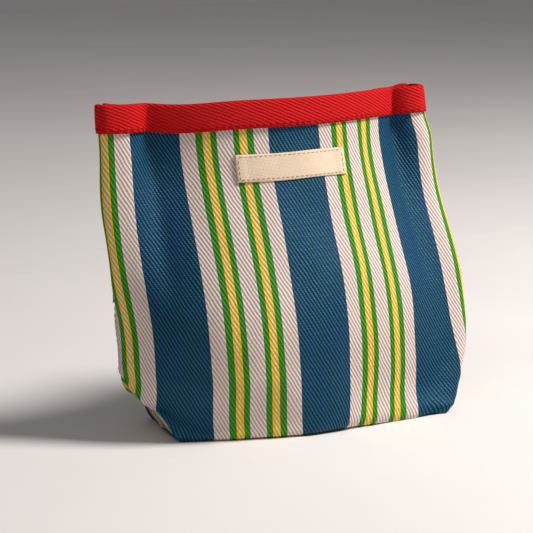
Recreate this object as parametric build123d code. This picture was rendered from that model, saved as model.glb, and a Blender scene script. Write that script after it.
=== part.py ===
from build123d import *
import os
from math import asin, atan2, cos, degrees, hypot, pi, radians, sin

# A small boxed-bottom zip pouch of striped woven plastic, in millimetres.
# +Z is up, +X runs along the zip, -Y is the labelled front, and the origin is
# the middle of the base at the level of the surface that it stands on.

# ---- driving dimensions -------------------------------------------------
PANEL_WIDTH = 235.0        # flat width of a panel between the side seams
CORNER_DEPTH = 35.0        # cloth that each boxed corner folds in
HEIGHT = 176.0             # floor to the top of the front binding
BACK_DROP = 2.5            # how much lower the back half of the mouth sits
FABRIC = 0.8               # woven plastic cloth
WEBBING = 1.1              # one thickness of the binding's webbing
BINDING_HEIGHT = 15.0      # half of a 30 mm webbing
THREAD = 0.3

# ---- the base, as plan distances from the middle ------------------------
BASE_HALF = PANEL_WIDTH / 2 - CORNER_DEPTH
BASE_FRONT = (31.0, 11.5)  # y at the corners, and the bulge between them
BASE_BACK = (31.0, 5.0)
BODY_ASIDE = 2.0           # the body stands a little to the right of the mouth

# ---- the body's plan at its fullest -------------------------------------
WAIST_Z = 32.0             # top of the boxed corners' triangles
FULL_X = 104.5             # side seam at that height
FRONT_BELLY, BACK_BELLY = 44.0, 36.0
FRONT_PEAK = -20.0         # the front is fullest this far along the cloth
CLOSES_FROM = 45.0         # the plan starts to close towards the mouth here

# ---- the mouth ----------------------------------------------------------
ZIP_RADIUS = 132.0         # the closed mouth bows forwards on an arc
MOUTH_CENTRE_Y = 126.0     # the arc's centre, before the mouth is turned
MOUTH_TURN = 5.0           # degrees that the empty top twists to the left
MOUTH_ASIDE = -5.6
CREASE = 80.0              # distance along the cloth to the kinks beside the zip
HALF_GAP = 5.6             # from the zip's line to the inside of a panel
TIP = (102.5, 24.0)        # side seam at the mouth
EAR_FRONT, EAR_BACK = 6.9, 6.5    # how far the ends of the mouth spring open
KINK_ROUNDING = 0.07       # as a part of half the mouth

# ---- zip ----------------------------------------------------------------
TAPE = 0.5
TAPE_Z = HEIGHT - 12.5
FLANGE = 5.0               # the tape's sewn edge, turned down inside
COIL_GAP, COIL_WIDTH, COIL_HEIGHT = 0.3, 2.0, 2.0
ZIP_HALF = 69.0            # half of the tape's length
CHAIN_HALF = 65.0          # half of the coil's length
SLIDER_LENGTH, SLIDER_WIDTH = 9.5, 7.4
PLATE = 0.9                # slider's plates and the puller
SLIDER_CLOSED_X = 58.0
PULLER_LENGTH, PULLER_WIDTH = 18.0, 5.4

# ---- labels, by distance along the cloth from its middle ----------------
LABEL_FROM, LABEL_TO = -35.0, 30.0
LABEL_LOW, LABEL_HIGH = 133.3, 147.6

ORIGIN = (-2.5, -3.55)       # middle of the pouch's outline, seen from above
STEPS = 20                 # points on half of a plan curve


def smooth(value, low, high):
    """0 below low, 1 above high, and an even curve between them."""
    t = min(1.0, max(0.0, (value - low) / (high - low)))
    return t * t * (3 - 2 * t)


def mix(a, b, t):
    return a + (b - a) * t


def mouth_place(x, y):
    """From the arc's own axes to the pouch's: turned, and moved aside."""
    turn = radians(MOUTH_TURN)
    return x * cos(turn) - y * sin(turn) + MOUTH_ASIDE, x * sin(turn) + y * cos(turn)


def creased_point(side, s):
    """The mouth with sharp kinks; side is -1 in front and 1 behind."""
    crease = CREASE / (PANEL_WIDTH / 2)
    radius = ZIP_RADIUS - side * HALF_GAP
    turn = CREASE / (ZIP_RADIUS + HALF_GAP) * max(-1.0, min(1.0, s / crease))
    x, y = radius * sin(turn), MOUTH_CENTRE_Y - radius * cos(turn)
    if abs(s) > crease:
        t = (abs(s) - crease) / (1 - crease)
        ear = EAR_FRONT if side < 0 else EAR_BACK
        x = mix(abs(x), TIP[0], (t + (1 - cos(pi * t)) / 2) / 2) * (1 if s > 0 else -1)
        y = mix(y, TIP[1], t ** 3) + side * ear * sin(pi * t)
    return mouth_place(x, y)


def rounded(kinked, side, s):
    """A point of a kinked plan, averaged along it so that its kinks are round."""
    reach = min(KINK_ROUNDING, 1 - abs(s))
    weights = {-1.0: 1, -0.5: 2, 0.0: 2, 0.5: 2, 1.0: 1}
    places = [(kinked(side, s + reach * k), w) for k, w in weights.items()]
    total = sum(weights.values())
    return sum(p[0] * w for p, w in places) / total, sum(p[1] * w for p, w in places) / total


def belly_point(side, s):
    """The lens-shaped plan of the full body."""
    depth = FRONT_BELLY if side < 0 else BACK_BELLY
    peak = FRONT_PEAK / (PANEL_WIDTH / 2) if side < 0 else 0.0
    away = abs(s - peak) / (1 - peak if s > peak else 1 + peak)
    return FULL_X * s + BODY_ASIDE, side * (depth - FABRIC) * (1 - away ** 2.1)


def boxed_point(side, s):
    """The box-shaped plan at the floor, measured along the cloth."""
    along = abs(s) * PANEL_WIDTH / 2
    corner, bulge = BASE_FRONT if side < 0 else BASE_BACK
    x = min(along, BASE_HALF)
    folded = max(0.0, along - BASE_HALF) / CORNER_DEPTH
    y = (corner + bulge * (1 - (x / BASE_HALF) ** 2)) * (1 - folded)
    return (x if s > 0 else -x) * 0.99 + BODY_ASIDE, side * y


def plan_point(side, s, z):
    """A point on the inside of a panel at height z."""
    foot = smooth(z, -WAIST_Z * 0.4, WAIST_Z)
    closing = smooth(z, CLOSES_FROM, HEIGHT - BINDING_HEIGHT)
    bx, by = rounded(boxed_point, side, s)
    fx, fy = belly_point(side, s)
    mx, my = rounded(creased_point, side, s)
    x, y = mix(bx, fx, foot), mix(by, fy, foot)
    return mix(x, mx, closing), mix(y, my, closing)


def plan_curve(side, z, offset, low=-1.0, high=1.0):
    """Points of a panel's plan curve, offset outwards by so many millimetres."""
    points = []
    for k in range(2 * STEPS + 1):
        s = mix(low, high, k / (2 * STEPS))
        x, y = plan_point(side, s, z)
        x0, y0 = plan_point(side, max(-1.0, s - 0.01), z)
        x1, y1 = plan_point(side, min(1.0, s + 0.01), z)
        run = hypot(x1 - x0, y1 - y0)
        nx, ny = side * (y0 - y1) / run, side * (x1 - x0) / run
        if abs(s) > 0.999:
            nx, ny = (1.2 if s > 0 else -1.2), 0.0
        points.append((x + nx * offset, y + ny * offset, z))
    return points


def skin(side, heights, inner, outer, low=-1.0, high=1.0):
    """A sheet between two offsets of a panel's plan, lofted up its heights."""
    sections = []
    for z in heights:
        inside = plan_curve(side, z, inner, low, high)
        outside = plan_curve(side, z, outer, low, high)
        outline = Wire([
            Edge.make_spline([Vector(*p) for p in inside]),
            Edge.make_line(inside[-1], outside[-1]),
            Edge.make_spline([Vector(*p) for p in reversed(outside)]),
            Edge.make_line(outside[0], inside[0]),
        ])
        sections.append(outline)
    return Solid.make_loft(sections, ruled=True)


def mouth_band(side, low, high, inner, outer):
    """A straight-sided strip that follows the mouth."""
    plan = plan_curve(side, HEIGHT, inner), plan_curve(side, HEIGHT, outer)
    inside, outside = [[Vector(x, y, low) for x, y, _ in curve] for curve in plan]
    face = Face(Wire([
        Edge.make_spline(inside),
        Edge.make_line(inside[-1], outside[-1]),
        Edge.make_spline(list(reversed(outside))),
        Edge.make_line(outside[0], inside[0]),
    ]))
    return Solid.extrude(face, Vector(0, 0, high - low))


def zip_band(inner, outer, half_length, low, high):
    """A strip along the zip's arc, between two distances behind its line."""
    def arc(distance):
        radius = ZIP_RADIUS - distance
        turn = asin(half_length / ZIP_RADIUS)
        places = [mouth_place(radius * sin(a), MOUTH_CENTRE_Y - radius * cos(a))
                  for a in (-turn, 0, turn)]
        return [Vector(x, y, low) for x, y in places]
    near, far = arc(inner), arc(outer)
    face = Face(Wire([
        Edge.make_three_point_arc(*near),
        Edge.make_line(near[2], far[2]),
        Edge.make_three_point_arc(far[2], far[1], far[0]),
        Edge.make_line(far[0], near[0]),
    ]))
    return Solid.extrude(face, Vector(0, 0, high - low))


def on_zip(x):
    """The frame of a piece that sits across the zip's line at x."""
    turn = asin(x / ZIP_RADIUS)
    place = mouth_place(ZIP_RADIUS * sin(turn), MOUTH_CENTRE_Y - ZIP_RADIUS * cos(turn))
    return Pos(*place, TAPE_Z) * Rot(0, 0, degrees(turn) + MOUTH_TURN)


def mouth_top(side):
    return HEIGHT - (BACK_DROP if side > 0 else 0)


def panel(side):
    """Front or back cloth: the wall, and its half of the base."""
    top = mouth_top(side) - WEBBING
    heights = [FABRIC, 8, 16, 24, 34, 48, 64, 82, 100, 118, 136, 148, HEIGHT - BINDING_HEIGHT, top]
    wall = skin(side, heights, 0, FABRIC)
    edge = [Vector(x, y, 0) for x, y, _ in plan_curve(side, FABRIC, FABRIC)]
    floor = Face(Wire([Edge.make_spline(edge), Edge.make_line(edge[-1], edge[0])]))
    return wall + Solid.extrude(floor, Vector(0, 0, FABRIC))


def binding(side):
    """A webbing folded over the raw edge of the cloth, one leg on each face."""
    top = mouth_top(side)
    low = HEIGHT - BINDING_HEIGHT
    folded = mouth_band(side, low, top, -WEBBING, FABRIC + WEBBING)
    return folded - mouth_band(side, low - 1, top - WEBBING, 0, FABRIC)


def binding_thread(side):
    """The row of stitches near the binding's lower edge."""
    row = HEIGHT - BINDING_HEIGHT + 2
    surface = FABRIC + WEBBING
    return mouth_band(side, row, row + 2 * THREAD, surface, surface + THREAD)


def zip_tape(side):
    """Half of the zip's tape: its flat part, and the sewn edge turned down."""
    wall = HALF_GAP - WEBBING - 0.1
    flat = zip_band(side * COIL_GAP, side * wall, ZIP_HALF, TAPE_Z - TAPE, TAPE_Z)
    sewn = zip_band(side * (wall - TAPE), side * wall, ZIP_HALF, TAPE_Z - FLANGE / 2, TAPE_Z)
    return flat + sewn


def zip_coil(side):
    """Half of the closed chain, on top of its tape."""
    return zip_band(side * COIL_GAP, side * (COIL_GAP + COIL_WIDTH), CHAIN_HALF,
                    TAPE_Z, TAPE_Z + COIL_HEIGHT)


def top_stops():
    """Two crimps, one on each tape just past the closed end of the chain."""
    stops = []
    for side in (-1, 1):
        stop = Box(2.4, 1.6, 2.0, align=(Align.CENTER, Align.CENTER, Align.MIN))
        stops.append(on_zip(CHAIN_HALF + 1.6) * Pos(0, side * 1.5, 0) * stop)
    return stops[0] + stops[1]


def bottom_stop():
    """One crimp across both tapes at the open end of the chain."""
    clip = Box(2.6, 4.6, 2.2, align=(Align.CENTER, Align.CENTER, Align.MIN))
    return on_zip(-CHAIN_HALF - 1.6) * clip


def slider_body():
    """The slider: two plates round the chain, a divider, and the bridge."""
    room = 0.25
    above = COIL_HEIGHT + room
    below = TAPE + room
    upper = Pos(0, 0, above + PLATE / 2) * Box(SLIDER_LENGTH, SLIDER_WIDTH, PLATE)
    lower = Pos(0, 0, -below - PLATE / 2) * Box(SLIDER_LENGTH * 0.9, SLIDER_WIDTH, PLATE)
    divider = Pos(SLIDER_LENGTH * 0.3, 0, (above - below) / 2) * Box(2.0, 0.36, above + below)
    body = upper + lower + divider
    rail_height = above - room
    for side in (-1, 1):
        y = side * (SLIDER_WIDTH / 2 - 0.45)
        body += Pos(0, y, room + rail_height / 2) * Box(SLIDER_LENGTH, 0.9, rail_height)
    arch = Box(6.4, 1.8, 3.4) - Pos(0, 0, -0.5) * Box(4.4, 3.0, 2.4)
    return body + Pos(0, 0, above + PLATE + 1.7) * arch


PIVOT_Z = COIL_HEIGHT + 0.25 + PLATE + 1.3   # the puller's bar, above the tape


def puller():
    """A metal tab whose cross bar turns under the slider's bridge."""
    bar = Rot(90, 0, 0) * Cylinder(0.6, PULLER_WIDTH)
    arm_length = 6.0
    tab = bar
    for side in (-1, 1):
        y = side * (PULLER_WIDTH / 2 - 0.6)
        tab += Pos(-arm_length / 2, y, 0) * Box(arm_length, 1.2, 1.2)
    blade = Box(PULLER_LENGTH - arm_length, PULLER_WIDTH, 1.2)
    blade -= Pos(-4.5, 0, 0) * Cylinder(1.3, 2)
    return tab + Pos(-arm_length - (PULLER_LENGTH - arm_length) / 2 + 0.4, 0, 0) * blade


def label_on_front():
    """A sewn cloth label, centred below the binding."""
    heights = [LABEL_LOW, (LABEL_LOW + LABEL_HIGH) / 2, LABEL_HIGH]
    ends = [2 * along / PANEL_WIDTH for along in (LABEL_FROM, LABEL_TO)]
    return skin(-1, heights, FABRIC / 2, FABRIC + 0.6, *ends) - panel(-1)


def label_thread():
    """The stitches across the label's two short ends."""
    middle = (LABEL_LOW + LABEL_HIGH) / 2
    ends = [2 * along / PANEL_WIDTH for along in (LABEL_FROM + 2, LABEL_TO - 2)]
    curve = plan_curve(-1, middle, FABRIC + 0.95, *ends)
    rows = [Pos(x, y - THREAD * 0.75, z) * Rot(lean_at(s, z), 0, 0) * Box(0.5, THREAD, 12)
            for (x, y, z), s in ((curve[0], ends[0]), (curve[-1], ends[1]))]
    return rows[0] + rows[1]


def lean_at(s, z):
    """How far the front leans back at that place, in degrees."""
    rise = 6.0
    return -degrees(atan2(plan_point(-1, s, z + rise)[1] - plan_point(-1, s, z - rise)[1], 2 * rise))


def seam_tip(z, left):
    """The inside of the side seam at height z."""
    x, y = plan_point(-1, -1.0 if left else 1.0, z)
    return x, y


def side_seam_tape(left):
    """A bound seam allowance standing inwards from a side seam."""
    width, half_thick, start = 7.0, 0.7, 2.2
    turn = 1 if left else -1
    sections = []
    for z in (6, 24, 44, 64, 100, 130, 155):
        x, y = seam_tip(z, left)
        near, far = x + turn * start, x + turn * (start + width)
        corners = [(near, y - half_thick, z), (far, y - half_thick, z),
                   (far, y + half_thick, z), (near, y + half_thick, z)]
        sections.append(Wire.make_polygon([Vector(*c) for c in corners], close=True))
    return Solid.make_loft(sections, ruled=True)


def side_label():
    """A tiny folded care label caught in the left side seam."""
    tall, reach = 14.5, 8.0
    low = 70.7
    x, y = seam_tip(low + tall / 2, True)
    leaf = Pos(reach / 2, 0, 0) * Box(reach, 0.5, tall)
    return Pos(x - 2.1, y + 0.9, low + tall / 2) * Rot(0, 0, 62) * leaf


def base_seam_tape():
    """The bound seam between the two halves of the base, pressed flat."""
    return Pos(BODY_ASIDE, 0, FABRIC) * Box(2 * BASE_HALF - 24, 8.0, 1.2,
                                   align=(Align.CENTER, Align.CENTER, Align.MIN))


def corner_seam_tape(left):
    """The bound seam across one end of the base."""
    x = (BASE_HALF - 6.5) * (-1 if left else 1) + BODY_ASIDE
    return Pos(x, 0, FABRIC) * Box(6.0, 2 * CORNER_DEPTH - 22, 1.2,
                                   align=(Align.CENTER, Align.CENTER, Align.MIN))


nodes = {
    "front_panel": panel(-1),
    "back_panel": panel(1),
    "front_binding": binding(-1),
    "back_binding": binding(1),
    "front_binding_thread": binding_thread(-1),
    "back_binding_thread": binding_thread(1),
    "front_zip_tape": zip_tape(-1),
    "back_zip_tape": zip_tape(1),
    "front_zip_coil": zip_coil(-1),
    "back_zip_coil": zip_coil(1),
    "zip_top_stops": top_stops(),
    "zip_bottom_stop": bottom_stop(),
    "slider_body": on_zip(SLIDER_CLOSED_X) * slider_body(),
    "zip_puller": on_zip(SLIDER_CLOSED_X) * Pos(0, 0, PIVOT_Z) * puller(),
    "front_label": label_on_front(),
    "front_label_thread": label_thread(),
    "side_label": side_label(),
    "side_seam_tape_left": side_seam_tape(True),
    "side_seam_tape_right": side_seam_tape(False),
    "base_seam_tape": base_seam_tape(),
    "corner_seam_tape_left": corner_seam_tape(True),
    "corner_seam_tape_right": corner_seam_tape(False),
}

os.makedirs("parts", exist_ok=True)
for name, shape in nodes.items():
    export_step(Pos(-ORIGIN[0], -ORIGIN[1], 0) * shape, f"parts/{name}.step")

boxes = [shape.bounding_box() for shape in nodes.values()]
reach = [(min(getattr(b.min, a) for b in boxes), max(getattr(b.max, a) for b in boxes)) for a in "XYZ"]
print("outline", [[round(v, 2) for v in pair] for pair in reach])
centre = [v - o for v, o in zip(mouth_place(0, MOUTH_CENTRE_Y), ORIGIN)]
start = on_zip(SLIDER_CLOSED_X)
turn = start.orientation.Z
print(f"zip centre {centre[0]:.3f}, {centre[1]:.3f}, {TAPE_Z}; ends at"
      f" {degrees(asin(SLIDER_CLOSED_X / ZIP_RADIUS)):.2f} degrees")
print(f"puller pivot {start.position.X - ORIGIN[0]:.3f}, {start.position.Y - ORIGIN[1]:.3f},"
      f" {TAPE_Z + PIVOT_Z:.3f}, axis {-sin(radians(turn)):.5f}, {cos(radians(turn)):.5f}, 0")
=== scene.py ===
import math

import bpy
import numpy as np
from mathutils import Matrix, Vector


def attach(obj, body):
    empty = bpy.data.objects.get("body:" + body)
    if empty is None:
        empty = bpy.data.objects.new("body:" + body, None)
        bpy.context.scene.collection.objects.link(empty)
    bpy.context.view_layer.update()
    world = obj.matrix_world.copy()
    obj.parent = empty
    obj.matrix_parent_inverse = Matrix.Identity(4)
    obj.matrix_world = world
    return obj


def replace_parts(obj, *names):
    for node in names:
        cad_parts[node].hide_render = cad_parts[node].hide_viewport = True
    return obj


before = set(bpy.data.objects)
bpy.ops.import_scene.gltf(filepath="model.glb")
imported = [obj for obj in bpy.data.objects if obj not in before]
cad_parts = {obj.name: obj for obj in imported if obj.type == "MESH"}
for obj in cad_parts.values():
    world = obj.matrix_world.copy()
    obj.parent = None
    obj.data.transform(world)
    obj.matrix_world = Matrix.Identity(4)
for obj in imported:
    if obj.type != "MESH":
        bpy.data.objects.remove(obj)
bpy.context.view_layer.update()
scene = bpy.context.scene

# Shapes are worked out in millimetres and made in metres. The pouch's own axes
# are the CAD's before its outline was centred, and ORIGIN is what was taken off.
MM = 0.001
ORIGIN = np.array([-2.5, -3.55, 0.0])

# ---- the cloth ------------------------------------------------------------
HALF_PANEL = 117.5         # from the panel's middle to a side seam, along the cloth
PANEL_TOP = 178.0          # cloth height that ends inside the binding
HEIGHT = 176.0             # what that height stands at
CORNER = 35.0              # cloth folded in at each boxed corner
FABRIC = 0.8
CELL = 5.0 / 3             # spacing of the cloth's grid, which divides CORNER
U = np.linspace(-HALF_PANEL, HALF_PANEL, 142)
FINE = np.linspace(-HALF_PANEL, HALF_PANEL, 236)
CORNER_ROWS = 22
UPPER_ROWS = 87
H_CORNER = np.linspace(0, CORNER, CORNER_ROWS)
H_ROWS = np.concatenate([H_CORNER, np.linspace(CORNER, PANEL_TOP, UPPER_ROWS)[1:]])
BASE_ROWS = 22

# ---- the mouth ------------------------------------------------------------
ZIP_RADIUS = 132.0
MOUTH_CENTRE_Y = 126.0
MOUTH_TURN = math.radians(5.0)
MOUTH_ASIDE = -5.6
HALF_GAP = 5.6
CREASE_TURN = 80.0 / (ZIP_RADIUS + HALF_GAP)
TIP_Y = 24.0
BINDING_LOW = 161.0
BINDING_HIGH = 176.0
BACK_DROP = 2.5
WEBBING = 1.1
CLOTH_TOP = 174.2

CLOSING = (46.0, 163.0)    # heights between which the plan closes to the mouth's

# The front's left edge curls back by this much. Its right ridge stands at these
# places along the cloth, at these heights.
LEFT_CURL = math.radians(80)
RIDGE_HEIGHTS = (0, 12, 25, 36, 50, 75)
RIDGE_PLACES = (83, 88, 93, 100, 104, 106)
LINES = {}                 # plans already worked out
FRONT = dict(sign=-1, belly=44.0, fullness=2.05, peak=-20.0, base=44.5, corner=(27.5, 38.0),
             base_power=(1.6, 1.2), base_peak=6.0, ear=6.9)
BACK = dict(sign=1, belly=36.0, fullness=2.2, peak=0.0, base=35.0, corner=(22.0, 29.0),
            base_power=(1.6, 1.6), base_peak=0.0, ear=6.5)


def smooth(value, low, high):
    t = np.clip((value - low) / (high - low), 0, 1)
    return t * t * (3 - 2 * t)


def mix(a, b, t):
    return a + (b - a) * t


def bump_at(value, centre, width):
    return np.exp(-((value - centre) / width) ** 2)


def mouth_depth(face, u):
    """y of the closed mouth along the cloth, before the mouth is turned."""
    radius = ZIP_RADIUS - face["sign"] * HALF_GAP
    crease = CREASE_TURN * radius
    turn = np.clip(u, -crease, crease) / radius
    y = MOUTH_CENTRE_Y - radius * np.cos(turn)
    t = np.clip((np.abs(u) - crease) / (HALF_PANEL - crease), 0, 1)
    return mix(y, TIP_Y, t ** 3) + face["sign"] * face["ear"] * np.sin(math.pi * t)


def belly_depth(face, u):
    half = HALF_PANEL - np.sign(u - face["peak"]) * face["peak"]
    away = np.abs((u - face["peak"]) / half)
    return face["sign"] * face["belly"] * (1 - away ** face["fullness"]) - 0.7


def foot_depth(face, u, rise):
    """y near the floor, where the sides turn in along a crease at each corner."""
    crease = HALF_PANEL - CORNER * (1 - rise)
    left, right = face["corner"]
    corner = np.where(u < face["base_peak"], left, right) * (1 - rise)
    power = np.where(u < face["base_peak"], *face["base_power"])
    half = crease - np.sign(u - face["base_peak"]) * face["base_peak"]
    away = np.abs((u - face["base_peak"]) / half)
    wall = face["base"] - (face["base"] - corner) * away ** power
    end = corner * (HALF_PANEL - np.abs(u)) / max(HALF_PANEL - crease, 1e-6)
    return face["sign"] * np.where(np.abs(u) > crease, end, wall)


def turned(x, y, angle):
    return x * np.cos(angle) - y * np.sin(angle), x * np.sin(angle) + y * np.cos(angle)


def plan_line(face, h):
    """x and y of the cloth along FINE at height h, keeping its length, not yet turned."""
    key = face["sign"], float(h)
    if key in LINES:
        return LINES[key]
    closing = smooth(h, *CLOSING)
    rise = min(h / 35.4, 1.0)
    y = belly_depth(face, FINE)
    if rise < 1:
        y = mix(foot_depth(face, FINE, rise), y, smooth(rise, 0, 1))
    y = mix(y, mouth_depth(face, FINE), closing)
    if face["sign"] < 0:            # a hollow high on the right
        y = y + 3.5 * bump_at(FINE, 84, 15) * bump_at(h, 112, 34)
    padded = np.pad(y, 3, mode="reflect", reflect_type="odd")
    softened = np.convolve(padded, np.ones(7) / 7, "valid")
    y = mix(softened, y, 0.75 * smooth(h, 120, 158))     # the creases sharpen towards the mouth
    heading = np.arcsin(np.clip(np.gradient(y, FINE), -0.985, 0.985))
    if face["sign"] < 0:
        # The left edge of the front curls back to its seam, and the right edge
        # stands out as a rounded ridge that runs up from the corner's crease.
        curl = 0.35 * smooth(h, 24, 42) + 0.65 * smooth(h, 60, 100)
        heading += (math.radians(26) * bump_at(FINE, -105, 6)
                    - LEFT_CURL * smooth(-FINE, 107, 116)) * curl
        flat = smooth(FINE, 56, 70) * (1 - smooth(FINE, 90, 97)) * bump_at(h, 26, 24)
        ridge = smooth(h, 2, 12) * (1 - smooth(h, 75, 125))
        line = np.interp(h, RIDGE_HEIGHTS, RIDGE_PLACES)
        heading -= math.radians(13) * flat * smooth(h, 6, 20)
        heading += (math.radians(52) * smooth(FINE, line - 3, line + 5)
                    - math.radians(24) * bump_at(FINE, line - 7, 8)) * ridge
    middle = np.interp(0, FINE, y)
    steps = np.diff(FINE)
    x = np.concatenate([[0], np.cumsum((np.cos(heading)[1:] + np.cos(heading)[:-1]) / 2 * steps)])
    y = np.concatenate([[0], np.cumsum((np.sin(heading)[1:] + np.sin(heading)[:-1]) / 2 * steps)])
    x -= np.interp(0, FINE, x)
    y += middle - np.interp(0, FINE, y)
    if face["sign"] < 0:            # drawn to the middle where it rolls under
        bell = smooth(FINE, -5, 25) * (1 - 0.45 * smooth(FINE, 64, 84))
        x = x - 6.0 * bell * (1 - smooth(h, -10, 28))
    if face["sign"] > 0:            # both panels meet at the side seams
        fx, fy = plan_line(FRONT, h)
        share = smooth(h, 8, CORNER - 1)
        x = x * np.where(x < 0, mix(1, fx[0] / x[0], share), mix(1, fx[-1] / x[-1], share))
        side = smooth(np.abs(FINE), 55, HALF_PANEL) * share
        y = y + side * np.where(FINE < 0, fy[0] - y[0], fy[-1] - y[-1])
        x = x - 3.2 * bump_at(FINE, -109, 6) * smooth(h, 120, 158)
    LINES[key] = x, y
    return x, y


def ring(face, h, u=U):
    """The cloth's places at height h: (n, 3), in millimetres."""
    closing = smooth(h, *CLOSING)
    x, y = plan_line(face, h)
    x, y = turned(x, y, math.radians(1.2) * (1 - smooth(h, 0, 60)) + MOUTH_TURN * closing)
    x = x + mix(1.9, MOUTH_ASIDE, h / PANEL_TOP)
    sag = (CORNER * HEIGHT / PANEL_TOP - 31.0) * np.interp(h, [0, CORNER, PANEL_TOP], [0, 1, 0])
    z = HEIGHT * h / PANEL_TOP - sag * np.abs(FINE / HALF_PANEL) ** 3
    if face["sign"] > 0:
        z = z - BACK_DROP * smooth(h, 90, 170) * (1 - smooth(np.abs(FINE), 96, 116))
        x = x + 5 * smooth(-FINE, 40, 95) * (1 - smooth(h, 0, 30))
    # The right ear is drawn in under the binding, and its end leans in.
    x = x - 3.6 * smooth(FINE, 68, 94) * smooth(h, 146, 166)
    x = x - 4.2 * smooth(FINE, 98, HALF_PANEL) * smooth(h, 158, 178)
    z = z - smooth(h, 90, 172) * (1.6 * bump_at(FINE, -62, 22) + 0.8 * bump_at(FINE, 76, 12))
    return np.stack([np.interp(u, FINE, c) for c in (x, y, z)], axis=1)


def soft_noise(u, h, size, seed):
    """A smooth bumpiness with that feature size, the same each time."""
    rng = np.random.default_rng(seed)
    total = np.zeros(np.broadcast(u, h).shape)
    for _ in range(10):
        angle, phase = rng.uniform(0, 2 * math.pi, 2)
        length = size * rng.uniform(0.7, 1.6)
        total += np.sin((u * math.cos(angle) + h * math.sin(angle)) * 2 * math.pi / length + phase)
    return total / math.sqrt(10)


def seam_path(left):
    """The side seam below the side gusset's top, down to the middle of the base's end."""
    side = 0 if left else -1
    top = ring(FRONT, CORNER)[side]
    corner = ring(FRONT, 0.0)[CORNER_ROWS - 1 if left else -CORNER_ROWS]
    inward = 1.0 if left else -1.0
    end = np.array([corner[0] + 1.5 * inward, 0.0, 0.6])
    q = (H_CORNER / CORNER)[:, None]
    path = mix(end, top, q)
    path[:, 0] += inward * 3.0 * np.sin(math.pi * q[:, 0])
    return path


def panel_grid(face):
    """The panel's wall, bottom row first: positions (rows, columns, 3)."""
    grid = np.array([ring(face, h) for h in H_ROWS])
    for left in (True, False):
        seam = seam_path(left)
        inward = 1.0 if left else -1.0
        for i in range(CORNER_ROWS - 1):
            free = CORNER_ROWS - 1 - i
            w = (np.arange(1, free + 1) / free)[:, None]
            start = grid[i, free] if left else grid[i, -1 - free]
            patch = mix(start, seam[i], w)
            patch[:, 0] += inward * 2.5 * np.sin(math.pi * w[:, 0]) * free / CORNER_ROWS
            if left:
                grid[i, free - 1::-1] = patch
            else:
                grid[i, -free:] = patch
    return grid


def grid_normals(grid):
    along = np.gradient(grid, axis=1)
    up = np.gradient(grid, axis=0)
    n = np.cross(along, up)
    return n / np.maximum(np.linalg.norm(n, axis=2, keepdims=True), 1e-9)


def worked(face, grid):
    """Wrinkles, puckers and the turned-under lower edge, added to the wall."""
    normal = grid_normals(grid) * -face["sign"]
    u, h = np.meshgrid(U, H_ROWS)
    seed = 3 if face["sign"] < 0 else 8
    quiet = smooth(h, 0, 25) * (1 - smooth(h, 150, 163))
    push = 0.55 * soft_noise(u, h, 62, seed) * quiet
    push += 0.22 * soft_noise(u, h, 26, seed + 1) * quiet
    edge = smooth(np.abs(u), 109, 117)
    push += 0.15 * edge * np.sin(2 * math.pi * h / 4.4 + np.sign(u)) * (1 - smooth(h, 156, 162))
    push += 0.5 * bump_at(h, 4, 5) * soft_noise(u, h, 24, seed + 2) * (1 - smooth(np.abs(u), 78, 84))
    grid = grid + normal * push[..., None]
    wall = 1 - smooth(np.abs(u), 80, 86)
    turn = 3.0
    if face["sign"] < 0:
        turn = turn + 4.0 * smooth(u, -20, 30) * (1 - smooth(u, 70, 82))
        lift = 1.4 * smooth(-u, 25, 75) * (1 - smooth(-u, 88, 100))
        lift = lift + 3.0 * smooth(u, 60, 83) * (1 - smooth(u, 88, 100))
        grid[..., 2] += lift * (1 - smooth(h, 2, 30))
    # The left corner's crease stands a little higher than the fold's own line.
    raised = np.interp(h, (0, 5, 10, 18, 24, 30, 35, 50), (0, 4.5, 6.5, 3.5, 4, 5.5, 4.5, 0))
    grid[..., 2] += raised * bump_at(-u, np.minimum(HALF_PANEL - CORNER + h, HALF_PANEL), 10)
    low = np.clip((turn - h) / turn, 0, 1)
    grid = grid - normal * (turn * (1 - np.sqrt(1 - low ** 2)) * wall)[..., None]
    drop = BACK_DROP if face["sign"] > 0 else 0
    grid[..., 2] = np.clip(grid[..., 2], 0.25, CLOTH_TOP - drop - end_drop(U))
    return grid


def end_drop(u):
    """How much lower the mouth is towards its ends, where its corners are rounded."""
    left = np.clip((-u - 112.5) / 5, 0, 1)
    right = np.clip((u - 106) / 11.5, 0, 1)
    return 2.8 * (1 - np.sqrt(1 - left ** 2)) + 1.0 * right ** 3


def base_grid(face, wall):
    """The panel's half of the base, from the fold at the floor to the middle seam."""
    first, last = CORNER_ROWS - 1, len(U) - CORNER_ROWS
    edge = wall[0, first:last + 1]
    ends = [seam_path(True)[0], seam_path(False)[0]]
    rows = []
    for k in range(1, BASE_ROWS + 1):
        v = k / BASE_ROWS
        row = edge.copy()
        stretch = [mix(1.0, e[0] / edge[i][0], v) for i, e in ((0, ends[0]), (-1, ends[1]))]
        row[:, 0] = np.where(edge[:, 0] < 0, edge[:, 0] * stretch[0], edge[:, 0] * stretch[1])
        row[:, 1] = edge[:, 1] * (1 - v)
        row[:, 2] = mix(edge[:, 2], 0.55 + 0.5 * v, smooth(v, 0, 0.35))
        rows.append(row)
    return np.array(rows), first, last


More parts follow.
